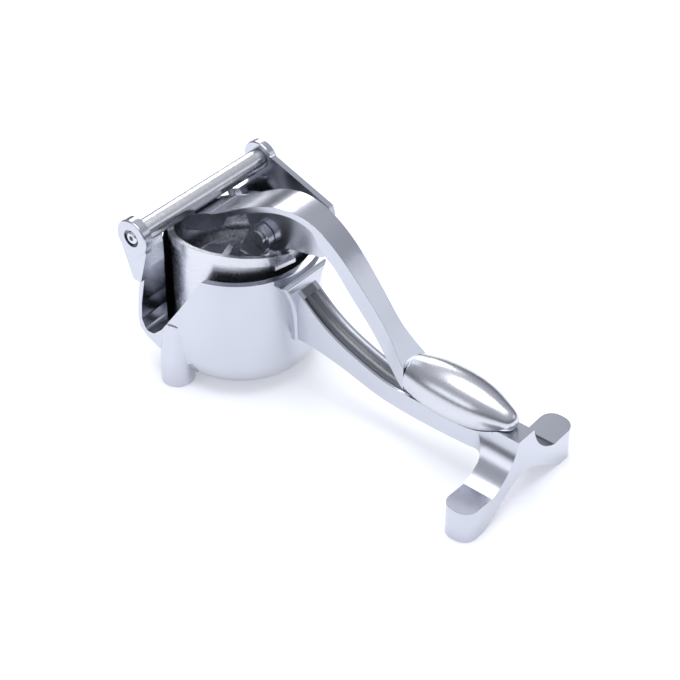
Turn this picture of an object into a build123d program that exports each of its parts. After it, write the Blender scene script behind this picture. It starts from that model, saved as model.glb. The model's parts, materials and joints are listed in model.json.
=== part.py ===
"""Hand lever fruit press in cast aluminium.

Drawn about the pot: x and y from the pot's middle, z from the table. Saved about the middle of the
footprint on the table. +X runs along the tail to the foot, +Y is the closed side, -Y the spout side, +Z is up.
Millimetres. The lever is modelled closed, its grip lying on the tail.
"""
from build123d import *
import math
import os

os.makedirs("parts", exist_ok=True)

# ---------------------------------------------------------------- driving dimensions
POT_R = 44.0            # outside radius of the pot
POT_WALL = 3.5
MIDDLE_X, MIDDLE_Y = 72.75, -1.75   # middle of the whole footprint, from the pot's middle
POT_RIM = 74.0          # height of the pot's rim
POT_FLOOR = 3.0         # underside of the pot above the table
POT_HEEL = 16.0         # radius where the outside wall turns into the floor

BAR_X, BAR_Z = -26.0, 90.0   # axis of the crossbar, which is also the lever's hinge
TUBE_R = 6.0
TUBE_BORE = 3.1
ROD_R = 3.0
EARS = {-1: (46.6, 53.0), 1: (44.5, 49.5)}   # faces of the ear on the spout side and the closed side
EAR_R = 10.4
SCREW_SINK_R = 5.0      # recess for a screw head in each ear
SCREW_SINK = 2.6
SCREW_HEAD_R = 3.9

WALL_IN, WALL_OUT = 43.5, 47.0   # faces of the flat side walls

LEG_X, LEG_Y, LEG_R = -9.0, 42.0, 9.2
LEG_BEND, LEG_TOP = 14.0, 38.0

CUP_R = 37.2            # outside radius of the strainer cup
CUP_WALL = 2.0
CUP_FOOT = 8.2          # underside of the cup's floor
CUP_RIM = 78.6          # rim height on the middle line; the rim is cut on a slant
RIM_SLOPE_Y = -0.245
RIM_SLOPE_X = 0.07
RIM_BAND = 5.5          # height of the thicker band round the rim

DRAIN_R = 1.6           # holes in the cup's floor, in rings of (radius, count)
DRAIN_RINGS = [(0.0, 1), (6.5, 6), (13.0, 12), (19.5, 18)]

TAIL_HALF = 7.2         # half the width of the tail
TAIL_START = 47.2
FOOT_BACK, FOOT_FRONT = 172.0, 189.5
FOOT_HALF = 46.0
FOOT_PAD = 19.0         # height of the flat pads

TUBE_GAP = 0.3          # running gap between the lever's hook and the tube
HOOK_R = 11.0

PIVOT_X, PIVOT_Z = 22.0, 88.0    # pin between the lever and the pressing head
LUG_HALF = 3.5          # half the thickness of the lug the pin goes through
FORK_HALF = 8.0         # half the width over the head's fork
PIN_R = 3.0
HEAD_X = -2.0           # middle of the pressing disc
DISC_R = 26.6
DISC_Z, DISC_T = 50.0, 5.0

GRIP_START, GRIP_END = 117.0, 183.0
GRIP_Z = 45.2
GRIP_GAP = 0.4          # clearance of the closed grip over the tail and the foot


# ---------------------------------------------------------------- helpers
def face_xz(*curves):
    """Face in the XZ plane from curves drawn as (x, z)."""
    return make_face([Plane.XZ * curve for curve in curves])


def across(face, y_low, y_high):
    """Extrude a face of the XZ plane across Y."""
    return Pos(0, y_low, 0) * extrude(face, amount=y_high - y_low, dir=(0, 1, 0))


def prism_xz(points, y_low, y_high, radius=0.0):
    """Prism across Y with a straight-sided (x, z) outline, its corners rounded if asked."""
    face = make_face(Polyline(*points, close=True))
    if radius:
        face = fillet(face.vertices(), radius)
    return across(Plane.XZ * face, y_low, y_high)


def rod_y(radius, x, z, y_low, y_high):
    """Round bar along Y."""
    return across(Plane.XZ * Pos(x, z) * Circle(radius), y_low, y_high)


def rod_z(radius, x, y, z_low, z_high):
    """Upright round bar."""
    return extrude(Pos(x, y, z_low) * Circle(radius), amount=z_high - z_low)


def turned(points_and_arcs):
    """Solid of revolution about the pot's axis from curves drawn as (radius, z)."""
    return revolve(face_xz(*points_and_arcs), Axis.Z)


def eased(shape, edges, radii):
    """Round edges by the largest radius of the list that the shape takes."""
    for radius in radii:
        try:
            rounded = fillet(edges, radius)
            if rounded.is_valid:
                return rounded
        except Exception:
            continue
    print("edges left sharp:", len(edges))
    return shape


def save(shape, name):
    """Write one named part as its own STEP file."""
    solids = [solid for solid in shape.solids() if solid.volume > 0.5]
    solids = [Pos(-MIDDLE_X, -MIDDLE_Y, 0) * solid for solid in solids]
    part = solids[0] if len(solids) == 1 else Compound(children=solids)
    part.label = name
    export_step(part, f"parts/{name}.step")
    print(name, len(solids), round(sum(s.volume for s in solids)))


# ---------------------------------------------------------------- pot housing
def bowl(radius, floor, rim, heel):
    """Straight-sided bowl blank with a rounded heel, solid."""
    return turned([
        Line((0, floor), (radius - heel, floor)),
        ThreePointArc(
            (radius - heel, floor),
            (radius - heel * (1 - math.sqrt(0.5)), floor + heel * (1 - math.sqrt(0.5))),
            (radius, floor + heel)),
        Line((radius, floor + heel), (radius, rim)),
        Line((radius, rim), (0, rim)),
        Line((0, rim), (0, floor)),
    ])


NOTCH = [(-23.5, 100), (-23.5, 68), (-28.3, 44), (-29.2, 33), (-26.5, 26.5), (-21, 26.5),
         (-14.5, 32.5), (-2, 51.3), (13.6, 76), (13.6, 100)]

LIMB = [(-34.5, 80), (-27.6, 64), (-30.3, 50), (-31.9, 35), (-31.0, 27), (-26, 22.5), (-18, 19),
        (0, 15), (8, 18), (13.5, POT_RIM), (13.6, 79), (-14, 79), (-14.9, 88)]

CLOSED = [(-34.5, 80), (-27.6, 64), (-30.3, 50), (-31.9, 35), (-31.0, 27), (-26, 22.5), (-18, 19),
          (0, 15), (8, 18), (22, 60), (27.5, 76), (25.5, 81.5), (-16.5, 96.2), (-20, 92)]


def side_wall(points, side):
    """Side wall (-1 spout, +1 closed) rising to its ear, its front part leaning in to meet the round pot."""
    ear_in, ear_out = EARS[side]
    plate = prism_xz(points, WALL_IN, WALL_OUT, 1.5)
    if side < 0:
        plate -= lean_in()
    ear = rod_y(EAR_R, BAR_X, BAR_Z, ear_in, ear_out)
    ear = eased(ear, ear.edges(), (0.9, 0.5))
    limb = prism_xz([(-35.9, 87), (-27.5, 63), (-22, 63), (-16.5, 84), (-18, 92), (-30, 92)],
                    ear_in, ear_out - 0.8, 1.5)
    wall = plate + ear + limb
    return wall if side > 0 else mirror(wall, Plane.XZ)


def lean_in():
    """Wedge that planes the wall off towards the pot, ahead of the leg."""
    plan = make_face(Polyline((-14, WALL_OUT), (-14, 60), (30, 60), (30, 38.4), close=True))
    return extrude(plan, amount=120)


def housing():
    """Pot, both side walls with their ears, the spout trough, the tail's root and two legs."""
    blank = bowl(POT_R, POT_FLOOR, POT_RIM, POT_HEEL)
    trough = prism_xz([(-34, 80), (-27.6, 64), (-30.3, 50), (-31.9, 35), (-31, 27), (-26, 22.5), (-18, 19),
                       (-8, 24), (13.6, 60), (13.6, 73.8)], 26, WALL_OUT, 1.5) - lean_in()
    web = prism_xz([(-33, 78), (-27.6, 64), (-30.3, 50), (-31.9, 35), (-31, 27), (-26, 22.5), (-18, 19),
                    (-22, 30), (-26, 50), (-23.6, 64), (-27, 78)], 26, WALL_OUT, 0.8)
    corner = prism_xz([(-16, 19), (0, 15), (8, 18), (22, 60), (26.5, POT_RIM), (-16, POT_RIM)], 26, WALL_OUT)
    body = blank + mirror(trough, Plane.XZ) + web + corner
    spout_leg = mirror(leg(), Plane.XZ) - prism_xz(NOTCH, -WALL_OUT - LEG_R, -24, 3.0)
    body = body + side_wall(LIMB, -1) + side_wall(CLOSED, 1) + tail_root() + leg() + spout_leg
    cavity = bowl(POT_R - POT_WALL, POT_FLOOR + POT_WALL, 130, POT_HEEL - POT_WALL)
    body = body - cavity - prism_xz(NOTCH, -WALL_OUT - 0.5, -24, 3.0)
    for side in (-1, 1):
        ear_in, ear_out = EARS[side]
        for radius, low, high in ((ROD_R + 0.05, ear_in - 12, ear_out - 2), (EAR_R + 0.5, WALL_IN - 1, ear_in),
                                  (SCREW_SINK_R, ear_out - SCREW_SINK, ear_out + 1)):
            low, high = sorted((side * low, side * high))
            body -= rod_y(radius, BAR_X, BAR_Z, low, high)
    return body


def leg():
    """Round leg that leans in from its bend and dies away upwards into the side wall."""
    post = rod_z(LEG_R, LEG_X, LEG_Y, 0, LEG_BEND)
    post = eased(post, post.edges().filter_by(GeomType.CIRCLE).sort_by(Axis.Z)[0], (1.0, 0.6))
    bend = Pos(LEG_X, LEG_Y, LEG_BEND) * Circle(LEG_R)
    top = Pos(LEG_X, WALL_OUT - LEG_R - 0.3, LEG_TOP) * Circle(LEG_R)
    return post + loft([bend, top])


def tail_root():
    """Shield-shaped block on the pot's front that the tail grows from."""
    flank = Spline((17.5, 71.5), (13.5, 64), (9.8, 54), (8.0, 43), (TAIL_HALF + 0.4, 32))
    shield = [Line((-17.5, 71.5), (17.5, 71.5)), flank, Line((TAIL_HALF + 0.4, 32), (-TAIL_HALF - 0.4, 32)),
              mirror(flank, Plane.YZ)]
    face = make_face([Plane.YZ * edge for edge in shield])
    block = Pos(30, 0, 0) * extrude(face, amount=TAIL_START - 30, dir=(1, 0, 0))
    front = block.faces().sort_by(Axis.X)[-1]
    return eased(block, front.edges(), (2.4, 1.8, 1.2))


# ---------------------------------------------------------------- tail and foot
TAIL_TOP = [(TAIL_START, 64.3), (53, 59.8), (61, 53.2), (76, 44.6), (92, 38.8), (106, 35.2), (124, 34.2),
            (145, 34.2), (160, 35.6)]
TAIL_END_TOP = (FOOT_BACK + 1.5, 40.5)
TAIL_UNDER = [(FOOT_BACK + 1.5, 25.0), (160, 23.2), (145, 22.4), (117, 22.6), (100, 24.4), (81, 29.0),
              (67, 31.8), (TAIL_START, 33.4)]


def tail():
    """Swept bar from the pot's front down to the foot, with a trough along its top for the lever."""
    top = Spline(*TAIL_TOP, TAIL_END_TOP)
    under = Spline(*TAIL_UNDER)
    side = face_xz(top, Line(TAIL_END_TOP, TAIL_UNDER[0]), under, Line(TAIL_UNDER[-1], TAIL_TOP[0]))
    bar = across(side, -TAIL_HALF, TAIL_HALF)
    groove_depth, groove_half = 3.0, TAIL_HALF - 1.6
    path = Spline(*[(x, z) for x, z in TAIL_TOP[1:]], (166, 37.0))
    groove_r = (groove_half ** 2 + groove_depth ** 2) / (2 * groove_depth)
    route = Plane.XZ * Pos(0, groove_r - groove_depth) * path
    start = route @ 0
    section = Plane(origin=start, x_dir=(0, 1, 0), z_dir=route % 0) * Circle(groove_r)
    groove = sweep(section, path=route)
    bar = bar - groove - rod_z(groove_r, 166, 0, 37.0 - groove_depth, 60)
    return (bar + flare()) - egg(GRIP_GAP)


def flare():
    """Curved webs that widen the tail into the foot, under the foot's own outline."""
    reach, spread = 9.0, 11.0
    near, far = FOOT_BACK - reach, FOOT_BACK + 0.2
    plan = make_face([
        Line((near - 4, -TAIL_HALF), (near - 4, TAIL_HALF)), Line((near - 4, TAIL_HALF), (near, TAIL_HALF)),
        ThreePointArc((near, TAIL_HALF), (near + 0.72 * reach, TAIL_HALF + 0.3 * spread), (far, TAIL_HALF + spread)),
        Line((far, TAIL_HALF + spread), (far, -TAIL_HALF - spread)),
        ThreePointArc((far, -TAIL_HALF - spread), (near + 0.72 * reach, -TAIL_HALF - 0.3 * spread),
                      (near, -TAIL_HALF)),
        Line((near, -TAIL_HALF), (near - 4, -TAIL_HALF))])
    under_top = prism_xz([(near - 5, 23.6), (far + 1, 25.2), (far + 1, 40.3), (near + 2, 37.0), (near - 5, 34.4)],
                         -30, 30)
    return extrude(plan, amount=60) & foot_profile(near - 5, far) & under_top


def foot_profile(back, front):
    """Slab across X with the foot's outline: an arch from pad to pad, its upper sides hollowed."""
    top_half, top_z = 6.5, 41.0
    knee_y, knee_z = 26.5, 18.2
    hollow = ThreePointArc((top_half, top_z), (13.0, 27.2), (knee_y, knee_z))
    arch = Spline((32.5, 0), (20, 8.2), (9, 15.2), (0, 17.6), (-9, 15.2), (-20, 8.2), (-32.5, 0))
    outline = [
        Line((-top_half, top_z), (top_half, top_z)), hollow,
        Line((knee_y, knee_z), (FOOT_HALF, FOOT_PAD)), Line((FOOT_HALF, FOOT_PAD), (FOOT_HALF, 0)),
        Line((FOOT_HALF, 0), (32.5, 0)), arch, Line((-32.5, 0), (-FOOT_HALF, 0)),
        Line((-FOOT_HALF, 0), (-FOOT_HALF, FOOT_PAD)), Line((-FOOT_HALF, FOOT_PAD), (-knee_y, knee_z)),
        mirror(hollow, Plane.YZ),
    ]
    face = make_face([Plane.YZ * edge for edge in outline])
    return Pos(back, 0, 0) * extrude(face, amount=front - back, dir=(1, 0, 0))


def foot():
    """Forked foot across the tail's end, round-ended in plan."""
    width = FOOT_FRONT - FOOT_BACK
    plan = RectangleRounded(width, 2 * FOOT_HALF, width / 2 - 1.2)
    rounded_ends = Pos((FOOT_BACK + FOOT_FRONT) / 2, 0, -1) * extrude(plan, amount=60)
    yoke = foot_profile(FOOT_BACK, FOOT_FRONT) & rounded_ends
    yoke = yoke - tail() - egg(GRIP_GAP)
    return yoke.solids().sort_by(SortBy.VOLUME)[-1]


# ---------------------------------------------------------------- strainer cup
def cup():
    """Thin cup with a slanted, thickened rim and a perforated floor."""
    heel = 14.0
    shell_r = CUP_R - 1.2
    outside = bowl(shell_r, CUP_FOOT, 120, heel)
    inside = bowl(shell_r - CUP_WALL, CUP_FOOT + CUP_WALL, 121, heel - CUP_WALL)
    normal = Vector(-RIM_SLOPE_X, -RIM_SLOPE_Y, 1).normalized()
    above = Plane(origin=(0, 0, CUP_RIM), z_dir=normal) * Pos(0, 0, 40) * Box(200, 200, 80)
    under_band = Plane(origin=(0, 0, CUP_RIM - RIM_BAND), z_dir=normal) * Pos(0, 0, -60) * Box(200, 200, 120)
    band = rod_z(CUP_R, 0, 0, 40, 120) - rod_z(shell_r - 0.1, 0, 0, 39, 121) - above - under_band
    body = (outside - inside - above) + band
    for turn, lift in ((-12, 80.0), (168, 75.2)):
        body += Rot(0, 0, turn) * Pos(CUP_R + 1.2, 0, lift) * Box(6.0, 13.0, 2.2)
    for ring, count in DRAIN_RINGS:
        for k in range(count):
            turn = 2 * math.pi * k / count
            body -= rod_z(DRAIN_R, ring * math.cos(turn), ring * math.sin(turn), 0, 20)
    return body


# ---------------------------------------------------------------- crossbar
def crossbar():
    """Loose tube, the rod it turns on, a screw in each ear and a washer at each end."""
    washer_t, play = 1.0, 0.3
    ends = {side: side * (EARS[side][0] - washer_t - play) for side in (-1, 1)}
    save(rod_y(TUBE_R, BAR_X, BAR_Z, ends[-1], ends[1]) - rod_y(TUBE_BORE, BAR_X, BAR_Z, -60, 60), "roller_tube")
    washers = []
    rod_ends = {}
    for side, name in ((-1, "hinge_screw_spout_side"), (1, "hinge_screw_closed_side")):
        ear_in, ear_out = EARS[side]
        rod_ends[side] = side * (ear_in + 1.2)
        low, high = sorted((side * ear_in, side * (ear_in - washer_t)))
        washers.append(rod_y(TUBE_R - 0.6, BAR_X, BAR_Z, low, high) - rod_y(ROD_R, BAR_X, BAR_Z, -60, 60))
        save(screw(side, ear_in + 1.2, ear_out - SCREW_SINK), name)
    save(rod_y(ROD_R, BAR_X, BAR_Z, rod_ends[-1], rod_ends[1]), "hinge_rod")
    save(Compound(children=washers), "end_washers")


def screw(side, rod_end, seat):
    """Round-washer hexagon screw: flange in the sink, domed hexagon, shank down to the rod's end."""
    flange_t, head_t = 0.7, 2.7
    shank = rod_y(ROD_R, BAR_X, BAR_Z, rod_end, seat)
    flange = rod_y(SCREW_HEAD_R + 0.6, BAR_X, BAR_Z, seat, seat + flange_t)
    hexagon = across(Plane.XZ * Pos(BAR_X, BAR_Z) * RegularPolygon(SCREW_HEAD_R, 6), seat + flange_t, seat + head_t)
    cone = Pos(BAR_X, seat + head_t / 2, BAR_Z) * Rot(-90, 0, 0) * Cone(SCREW_HEAD_R + 1.6, SCREW_HEAD_R - 0.7,
                                                                       head_t)
    solid = shank + flange + (hexagon & cone)
    return solid if side > 0 else mirror(solid, Plane.XZ)


# ---------------------------------------------------------------- lever
LEVER_TOP = [(-12, 89.5), (-1, 95.3), (14.5, 104.9), (28, 111.3), (39, 114.2), (50, 114.0), (60, 111.2),
             (70, 105.2), (79, 97.4), (87, 89.0), (95, 80.0), (103, 70.3), (112, 59.5), (119, 52.0)]
WEB_UNDER = [(14.0, 84), (15.0, 79.8), (22, 78.6), (29, 80.2), (38, 86.0), (50, 88.5), (60, 90.6), (66, 95)]


def lever_width(high):
    """Plan outline of the lever as a tall prism: broad at the hook, slim down the shank, flared at the grip."""
    broad, end = 11.0, (130, 9.6)
    edge = Spline((16, broad), (34, 9.8), (50, 8.4), (62, 7.5), (75, 7.0), (97, 5.8), (107, 5.9), (115, 7.9), end)
    plan = make_face([Line((-45, broad), (16, broad)), edge, Line(end, (end[0], -end[1])),
                      mirror(edge, Plane.XZ), Line((16, -broad), (-45, -broad)), Line((-45, -broad), (-45, broad))])
    return extrude(plan, amount=high)


def lever():
    """Hook, thin arched strap, deep shank and the lug that carries the pressing head."""
    top = Spline(*LEVER_TOP)
    under_points = [(-12, 80.5), (-1, 85.2), (3, 93.6), (14.5, 101.2), (28, 107.6), (39, 110.6), (50, 110.4),
                    (58, 107.4), (62, 100.5), (67, 95.5), (72, 91.5), (80, 82.0), (88, 72.5), (97, 61.5),
                    (106, 49.0), (115, 40.8), (119, 38.6)]
    knee = Polyline(*under_points[:3])
    arch = Spline(*under_points[2:8])
    shank = Spline(*under_points[9:])
    side = face_xz(top, Line(LEVER_TOP[-1], under_points[-1]), shank,
                   Polyline(under_points[7], under_points[8], under_points[9]), arch, knee,
                   Line(under_points[0], LEVER_TOP[0]))
    body = across(side, -12, 12)
    web_outline = Polyline((8, 96.5), *WEB_UNDER, (66, 104), (60, 109), (50, 112), (38, 112), (26, 108.5),
                           (19, 104.5), (8, 96.5))
    web = across(face_xz(web_outline), -LUG_HALF, LUG_HALF)
    hook_start = prism_xz([(-30, 71.2), (-10, 79.2), (-10, 91), (-22, 92), (-30, 84)], -11, 11)
    keep_out = rod_y(TUBE_R + TUBE_GAP, BAR_X, BAR_Z, -20, 20)
    lip = rod_y(HOOK_R, BAR_X, BAR_Z, -11, 11) & prism_xz([(-45, 70), (-26, 70), (-26, 84.5), (-45, 84.5)], -11, 11)
    above_line = prism_xz([(-29, 81.6), (0, 95.9), (0, 120), (-29, 120)], -20, 20)
    hook = (hook_start - above_line) + lip
    body = (body & lever_width(140)) + web + hook - keep_out
    body -= rod_y(PIN_R, PIVOT_X, PIVOT_Z, -20, 20)
    return body


def egg(extra=0.0):
    """Egg-shaped solid of the grip, larger all over by extra."""
    length = GRIP_END - GRIP_START
    outline = [(0, 9.8), (0.16 * length, 12.2), (0.43 * length, 13.8), (0.72 * length, 11.6), (0.91 * length, 6.9)]
    curve = Spline((-extra, 9.8 + extra), *[(x, r + extra) for x, r in outline[1:]], (length + extra, 0),
                   tangents=[(1, 0.22), (0, -1)])
    face = make_face([curve, Line((length + extra, 0), (-extra, 0)), Line((-extra, 0), (-extra, 9.8 + extra))])
    return Pos(GRIP_START, 0, GRIP_Z) * revolve(face, Axis.X)


def grip():
    """Egg-shaped handle at the lever's end, squared off where the shank meets it."""
    shank_seat = prism_xz([(100, 30), (GRIP_START + 3, 30), (GRIP_START + 3, 70), (100, 70)], -20, 20)
    return egg() - shank_seat


# ---------------------------------------------------------------- pressing head
def head():
    """Disc with a fork over the lever's lug and four ribs down to the disc."""
    disc = rod_z(DISC_R, HEAD_X, 0, DISC_Z, DISC_Z + DISC_T)
    disc = eased(disc, disc.edges().filter_by(GeomType.CIRCLE), (1.5, 1.0))
    top = DISC_Z + DISC_T
    boss = loft([Pos(HEAD_X, 0, top - 0.5) * Circle(13), Pos(HEAD_X + 13, 0, 74) * Circle(8.6)])
    cheeks = rod_y(7.0, PIVOT_X, PIVOT_Z, -FORK_HALF, FORK_HALF)
    neck = prism_xz([(6, 70), (18, 70), (28.6, 85.5), (28, 91), (15.4, 91)], -FORK_HALF, FORK_HALF)
    rib = prism_xz([(-26, top - 0.5), (-24, top + 2.5), (4, 76), (16, 76), (21, 70), (23.5, top + 2),
                    (24.5, top - 0.5)], -1.8, 1.8)
    cross_rib = Pos(HEAD_X, 0, 0) * prism_xz([(-26, top - 0.5), (-25, top + 2), (-4, 70), (4, 70), (25, top + 2),
                                              (26, top - 0.5)], -1.8, 1.8)
    cross_rib = Pos(HEAD_X, 0, 0) * Rot(0, 0, 90) * Pos(-HEAD_X, 0, 0) * cross_rib
    body = disc + boss + cheeks + neck + rib + cross_rib
    slot = prism_xz([(5, 74.5), (40, 74.5), (40, 100), (5, 100)], -LUG_HALF - 0.4, LUG_HALF + 0.4)
    return body - slot - rod_y(PIN_R + 0.05, PIVOT_X, PIVOT_Z, -20, 20)


def head_pin():
    """Clevis pin with a flat head on one end and a spring clip on the other."""
    pin = rod_y(PIN_R, PIVOT_X, PIVOT_Z, -FORK_HALF - 0.4, FORK_HALF + 2.2)
    button = rod_y(4.6, PIVOT_X, PIVOT_Z, -FORK_HALF - 2.0, -FORK_HALF - 0.3)
    groove = rod_y(5, PIVOT_X, PIVOT_Z, FORK_HALF + 0.3, FORK_HALF + 1.3) - rod_y(2.4, PIVOT_X, PIVOT_Z, -20, 20)
    clip = rod_y(4.6, PIVOT_X, PIVOT_Z, FORK_HALF + 0.3, FORK_HALF + 1.3) - rod_y(2.4, PIVOT_X, PIVOT_Z, -20, 20)
    mouth = prism_xz([(PIVOT_X - 1.2, PIVOT_Z - 8), (PIVOT_X + 1.2, PIVOT_Z - 8), (PIVOT_X + 1.2, PIVOT_Z),
                      (PIVOT_X - 1.2, PIVOT_Z)], 0, 20)
    return pin + button - groove, clip - mouth


save(housing(), "pot_housing")
save(tail(), "tail_beam")
save(foot(), "foot_yoke")
save(cup(), "strainer_cup")
crossbar()
handle = grip()
save(lever() - handle, "lever_arm")
save(handle, "lever_grip")
save(head(), "press_head")
pin, clip = head_pin()
save(pin, "press_pin")
save(clip, "pin_clip")
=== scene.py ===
"""Looks of the hand lever fruit press: surfaces, finishes, light, floor and camera. Metres, +Z up."""
import json
import math

import bmesh
import bpy
import numpy as np
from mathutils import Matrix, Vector


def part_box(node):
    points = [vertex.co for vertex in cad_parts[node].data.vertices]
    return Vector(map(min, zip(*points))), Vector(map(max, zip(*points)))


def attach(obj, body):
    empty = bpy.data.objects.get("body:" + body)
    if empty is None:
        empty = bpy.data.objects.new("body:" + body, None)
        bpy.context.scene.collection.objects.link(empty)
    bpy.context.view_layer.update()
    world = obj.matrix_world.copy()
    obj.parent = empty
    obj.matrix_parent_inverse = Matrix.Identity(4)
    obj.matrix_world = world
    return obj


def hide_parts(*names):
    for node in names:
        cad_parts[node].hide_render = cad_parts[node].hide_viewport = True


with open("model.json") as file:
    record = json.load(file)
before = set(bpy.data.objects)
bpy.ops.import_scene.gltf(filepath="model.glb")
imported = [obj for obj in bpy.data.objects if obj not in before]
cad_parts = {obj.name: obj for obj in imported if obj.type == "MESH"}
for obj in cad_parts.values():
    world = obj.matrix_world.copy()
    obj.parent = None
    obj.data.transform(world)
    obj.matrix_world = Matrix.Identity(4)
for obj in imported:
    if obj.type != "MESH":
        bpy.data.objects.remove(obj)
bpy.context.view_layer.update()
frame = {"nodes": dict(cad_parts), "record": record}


# ---------------------------------------------------------------- shader maths
class Link:
    """A shader socket that can stand in sums, differences and products."""

    def __init__(self, tree, socket=None):
        self.tree, self.socket = tree, socket

    def node(self, kind, inputs=(), output=0, **settings):
        """Adds a node of any type, its settings first, then the values or links of its sockets."""
        made = self.tree.nodes.new(kind)
        for name, value in settings.items():
            if name == "stops":
                fill_ramp(made.color_ramp, value)
            else:
                setattr(made, name, value)
        for key, value in dict(inputs).items():
            if isinstance(value, Link):
                self.tree.links.new(value.socket, made.inputs[key])
            else:
                made.inputs[key].default_value = value
        return Link(self.tree, made.outputs[output])

    def math(self, operation, *others):
        return self.node("ShaderNodeMath", dict(enumerate((self, *others))), operation=operation)

    def __add__(self, other):
        return self.math("ADD", other)

    def __sub__(self, other):
        return self.math("SUBTRACT", other)

    def __mul__(self, other):
        return self.math("MULTIPLY", other)

    def __rsub__(self, other):
        return self.node("ShaderNodeMath", {0: other, 1: self}, operation="SUBTRACT")

    __radd__ = __add__
    __rmul__ = __mul__


def fill_ramp(ramp, stops):
    """Sets a colour ramp's stops from (place, grey or colour) pairs."""
    while len(ramp.elements) > 1:
        ramp.elements.remove(ramp.elements[-1])
    for number, (place, value) in enumerate(stops):
        element = ramp.elements[0] if number == 0 else ramp.elements.new(place)
        element.position = place
        element.color = (value, value, value, 1) if isinstance(value, float) else (*value, 1)


def mixed(factor, first, second):
    """Colour between two colours or colour links, by a mask."""
    first, second = (tone if isinstance(tone, Link) else (*tone, 1) for tone in (first, second))
    return factor.node("ShaderNodeMix", {"Factor": factor, 6: first, 7: second}, output=2, data_type="RGBA")


TARNISH = (0.50, 0.52, 0.58)
# Painted shade: the first is a dark colour standing in for the shade in the tail's groove; the second raises the
# roughness there.
TROUGH_PAINTED_SHADE, TROUGH_DULLNESS = (0.20, 0.205, 0.225), 0.12
MOTTLING = 0.25             # most share of tarnish in the tone
CLOUD_SCALE = 35.0          # cloudy patches a few centimetres across
SKIN_DEPTH = 0.0004


def metal(name, colour, roughness, *, grain=900.0, stretch=(1, 1, 1), bump=0.02, spread=0.08, trough=None):
    """Bare metal: a cloudy tone, a finer roughness pattern and a shallow skin in the normal. A trough (middle
    y, half width) along the piece gets painted shade in its colour, standing in for the shade in the groove, and a
    duller roughness."""
    material = bpy.data.materials.new(name)
    material.use_nodes = True
    tree = material.node_tree
    shader = next(n for n in tree.nodes if n.type == "BSDF_PRINCIPLED")
    shader.inputs["Metallic"].default_value = 1.0
    spot = Link(tree).node("ShaderNodeTexCoord", output="Object")
    place = spot.node("ShaderNodeMapping", {"Vector": spot, "Scale": stretch})
    clouds = place.node("ShaderNodeTexNoise", {"Vector": place, "Scale": CLOUD_SCALE, "Detail": 5.0, "Roughness": 0.6})
    fine = place.node("ShaderNodeTexNoise", {"Vector": place, "Scale": grain, "Detail": 3.0, "Roughness": 0.7})
    tone = clouds.node("ShaderNodeValToRGB", {"Fac": clouds}, stops=[(0.35, 0.0), (0.70, 1.0)])
    skin_colour = mixed(tone * MOTTLING, colour, TARNISH)
    rough = clouds * spread + fine * (spread * 0.6) + (roughness - spread * 0.8)
    if trough:
        middle, half = trough
        sideways = (spot.node("ShaderNodeSeparateXYZ", {"Vector": spot}, output=1) - middle).math("ABSOLUTE")
        trough_shade_mask = sideways.node("ShaderNodeValToRGB", {"Fac": sideways * (1 / half)},
                               stops=[(0.0, 1.0), (0.80, 1.0), (1.0, 0.0)])
        # painted shade: the groove's colour is pulled towards the dark trough colour, standing in for the shade in it
        skin_colour = mixed(trough_shade_mask, skin_colour, TROUGH_PAINTED_SHADE)
        rough = rough + trough_shade_mask * TROUGH_DULLNESS
    tree.links.new(skin_colour.socket, shader.inputs["Base Color"])
    tree.links.new(rough.socket, shader.inputs["Roughness"])
    skin = fine.node("ShaderNodeBump", {"Strength": bump, "Distance": SKIN_DEPTH, "Height": fine})
    tree.links.new(skin.socket, shader.inputs["Normal"])
    return material


finishes = {
    "cast_aluminium": metal("cast_aluminium", (0.58, 0.595, 0.65), 0.22, grain=500.0, bump=0.02, spread=0.06),
    "polished_aluminium": metal("polished_aluminium", (0.66, 0.67, 0.71), 0.27, grain=500.0, bump=0.02,
                                stretch=(0.25, 1, 1)),
    "bar_steel": metal("turned_bar", (0.74, 0.74, 0.76), 0.26, grain=350.0, stretch=(1, 14, 1), bump=0.10),
    "screw_steel": metal("plated_screw", (0.66, 0.67, 0.70), 0.22, bump=0.04)}
TAIL_MIDDLE_Y, TROUGH_HALF = 0.00175, 0.0050
node_finishes = {
    "tail_beam": metal("cast_tail", (0.58, 0.595, 0.65), 0.22, grain=500.0, bump=0.02, spread=0.06,
                       trough=(TAIL_MIDDLE_Y, TROUGH_HALF))}

JOIN_DISTANCE, SHARP_ANGLE = 0.000002, math.radians(32)
EDGE_ROUNDING = {"pot_housing": 0.0005, "tail_beam": 0.0007, "foot_yoke": 0.0009, "lever_arm": 0.0008,
                 "lever_grip": 0.0012, "strainer_cup": 0.0005, "press_head": 0.0006}
for subpart in frame["record"]["subparts"]:
    node = frame["nodes"][subpart["node"]]
    node.data.materials.clear()
    node.data.materials.append(node_finishes.get(subpart["node"], finishes[subpart["material_slot"]]))
    if subpart["node"] in EDGE_ROUNDING:
        joined = node.modifiers.new("join triangles", "WELD")
        joined.merge_threshold = JOIN_DISTANCE
        rounding = node.modifiers.new("cast edges", "BEVEL")
        rounding.width = EDGE_ROUNDING[subpart["node"]]
        rounding.segments = 3
        rounding.limit_method = "ANGLE"
        rounding.angle_limit = SHARP_ANGLE
        rounding.harden_normals = True
        evened = node.modifiers.new("even normals", "WEIGHTED_NORMAL")
        evened.keep_sharp = True


# ---------------------------------------------------------------- screw heads
SOCKET_R, HEAD_R, SHANK_R = 0.0016, 0.0038, 0.0020
HEAD_RINGS = [(0.0003, 0.0014), (SOCKET_R, 0.0014), (SOCKET_R, 0.0002), (0.0022, 0.0), (0.0029, 0.0002),
              (0.0035, 0.0007), (HEAD_R, 0.0014), (HEAD_R, 0.0024), (SHANK_R, 0.0024)]
SOCKET_RINGS, SCREW_TURNS = 3, 48
SCREW_SHARP_ANGLE = math.radians(40)


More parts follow.
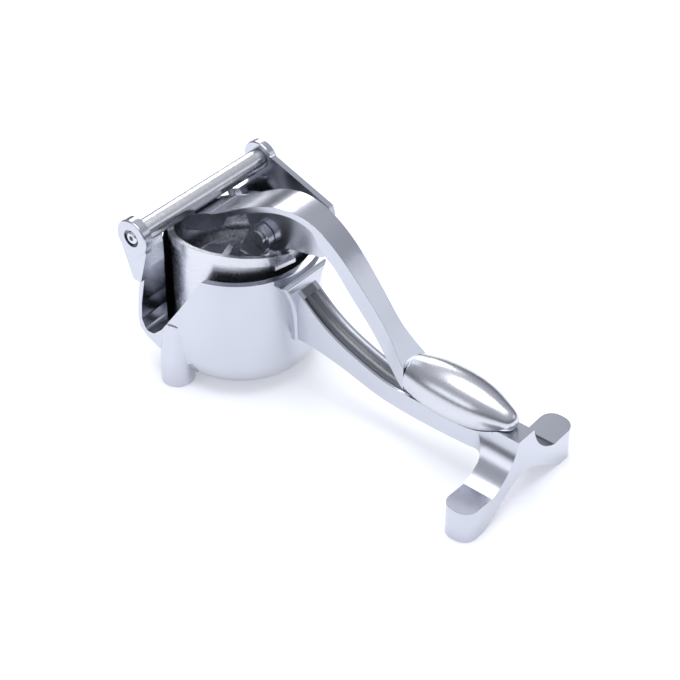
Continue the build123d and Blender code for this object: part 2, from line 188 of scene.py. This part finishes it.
def ring_faces(rings, turns):
    """Faces of a closed tube of rings of points: a wall between each ring and the next, and two ends."""
    turn = np.arange(turns)
    start = np.arange(rings - 1)[:, None] * turns
    first, after = (start + turn).ravel(), (start + (turn + 1) % turns).ravel()
    walls = np.stack([first, first + turns, after + turns, after], axis=1).tolist()
    return walls + [list(range(turns)), list(range((rings - 1) * turns, rings * turns))]


def screw(node, side):
    """Domed screw with a hexagonal socket, turned about a line across Y in the place of a CAD screw. A point is
    the ring's radius times the cosine and the sine of its angle away from the middle, in x and in z, and the
    ring's depth inwards from the outer face. In the socket the radius is also divided by the cosine of the angle
    to the nearest flat's middle."""
    low, high = (np.array(corner, dtype=float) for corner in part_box(node))
    middle, length = (low + high) / 2, high[1] - low[1]
    outer = low[1] if side < 0 else high[1]
    radius, depth = np.array(HEAD_RINGS + [(SHANK_R, length), (SHANK_R / 4, length)]).T
    angle = np.arange(SCREW_TURNS) * 2 * np.pi / SCREW_TURNS
    flat = np.cos(np.pi / 6) / np.cos(angle % (np.pi / 3) - np.pi / 6)
    reach = radius[:, None] * np.where(np.arange(len(radius))[:, None] < SOCKET_RINGS, flat, 1.0)
    x = middle[0] + reach * np.cos(angle)
    y = np.repeat((outer - side * depth)[:, None], SCREW_TURNS, axis=1)
    z = middle[2] + reach * np.sin(angle)
    points = np.stack([x, y, z], axis=-1).reshape(-1, 3)
    mesh = bpy.data.meshes.new(node + "_domed")
    mesh.from_pydata(points.tolist(), [], ring_faces(len(radius), SCREW_TURNS))
    facing = bmesh.new()
    facing.from_mesh(mesh)
    bmesh.ops.recalc_face_normals(facing, faces=facing.faces)
    facing.to_mesh(mesh)
    facing.free()
    mesh.shade_smooth()
    mesh.set_sharp_from_angle(angle=SCREW_SHARP_ANGLE)
    mesh.materials.append(finishes["screw_steel"])
    piece = bpy.data.objects.new(node + "_domed", mesh)
    bpy.context.scene.collection.objects.link(piece)
    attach(piece, "frame")
    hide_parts(node)


screw("hinge_screw_spout_side", -1)
screw("hinge_screw_closed_side", 1)


# ---------------------------------------------------------------- floor, light, camera
FLOOR_TONE, FLOOR_GLOW = (0.90, 0.915, 0.96), 0.30
FLOOR_HALF, FLOOR_HEIGHT = 3.0, -0.0002


def pale_floor(middle_x):
    """Wide matt floor just under the press, with a little light of its own so that it stays white."""
    corners = [(middle_x + a * FLOOR_HALF, b * FLOOR_HALF, FLOOR_HEIGHT)
               for a, b in ((-1, -1), (1, -1), (1, 1), (-1, 1))]
    mesh = bpy.data.meshes.new("floor")
    mesh.from_pydata(corners, [], [(0, 1, 2, 3)])
    card = bpy.data.objects.new("floor", mesh)
    bpy.context.scene.collection.objects.link(card)
    material = bpy.data.materials.new("floor")
    material.use_nodes = True
    shader = next(n for n in material.node_tree.nodes if n.type == "BSDF_PRINCIPLED")
    shader.inputs["Base Color"].default_value = (*FLOOR_TONE, 1)
    shader.inputs["Roughness"].default_value = 0.9
    shader.inputs["Emission Color"].default_value = (1, 1, 1, 1)
    shader.inputs["Emission Strength"].default_value = FLOOR_GLOW
    mesh.materials.append(material)


pale_floor(0.07)


def soft_light(name, place, aim, size, power, colour=(1, 1, 1)):
    """Large rectangular area light at a place, turned to its aim, with its power in watts."""
    light = bpy.data.lights.new(name, "AREA")
    light.shape = "RECTANGLE"
    light.size, light.size_y = size
    light.energy = power
    light.color = colour
    lamp = bpy.data.objects.new(name, light)
    bpy.context.scene.collection.objects.link(lamp)
    lamp.location = place
    lamp.rotation_euler = (Vector(aim) - Vector(place)).to_track_quat("-Z", "Y").to_euler()


soft_light("overhead_softbox", (0.0, 0.0, 1.1), (0.03, 0, 0.05), (0.8, 0.8), 7.0)
soft_light("back_softbox", (-0.75, 0.75, 0.62), (0.0, 0, 0.09), (0.5, 0.35), 3.0)
soft_light("right_softbox", (1.0, 0.75, 0.55), (0.08, 0, 0.05), (0.7, 0.5), 0.9, (0.93, 0.95, 1.0))
soft_light("front_fill", (-0.3, -1.1, 0.5), (0.05, 0, 0.04), (0.9, 0.4), 1.5, (0.95, 0.96, 1.0))

world = bpy.data.worlds.new("studio")
bpy.context.scene.world = world
world.use_nodes = True
room = world.node_tree
sky = Link(room).node("ShaderNodeTexCoord", output="Generated")
height = sky.node("ShaderNodeSeparateXYZ", {"Vector": sky}, output=2)
shade = height.node("ShaderNodeValToRGB", {"Fac": height}, stops=[
    (0.0, (0.10, 0.105, 0.125)), (0.20, (0.16, 0.165, 0.19)), (0.36, (0.46, 0.47, 0.53)),
    (0.60, (0.60, 0.62, 0.69)), (1.0, (0.80, 0.82, 0.88))])
room.links.new(shade.socket, room.nodes["Background"].inputs["Color"])
room.nodes["Background"].inputs["Strength"].default_value = 0.75

AZIMUTH, ELEVATION = math.radians(40.06), math.radians(38.59)
DISTANCE = 1.055
AIM_RIGHT, AIM_UP = 0.0535, 0.0034      # middle of the view from the pot's foot, across and up
LENS_LENGTH, SENSOR_WIDTH = 100.9, 36.0
pot_middle = np.array([-0.07275, 0.00175, 0.0])
back = np.array([math.sin(AZIMUTH) * math.cos(ELEVATION), -math.cos(AZIMUTH) * math.cos(ELEVATION),
                 math.sin(ELEVATION)])
right = np.array([math.cos(AZIMUTH), math.sin(AZIMUTH), 0.0])
up = np.cross(back, right)
lens = bpy.data.cameras.new("camera")
lens.lens, lens.sensor_width = LENS_LENGTH, SENSOR_WIDTH
camera = bpy.data.objects.new("camera", lens)
bpy.context.scene.collection.objects.link(camera)
camera.location = tuple(pot_middle + back * DISTANCE + right * AIM_RIGHT + up * AIM_UP)
camera.rotation_euler = (math.pi / 2 - ELEVATION, 0.0, AZIMUTH)
bpy.context.scene.camera = camera
bpy.context.scene.view_settings.view_transform = "Standard"
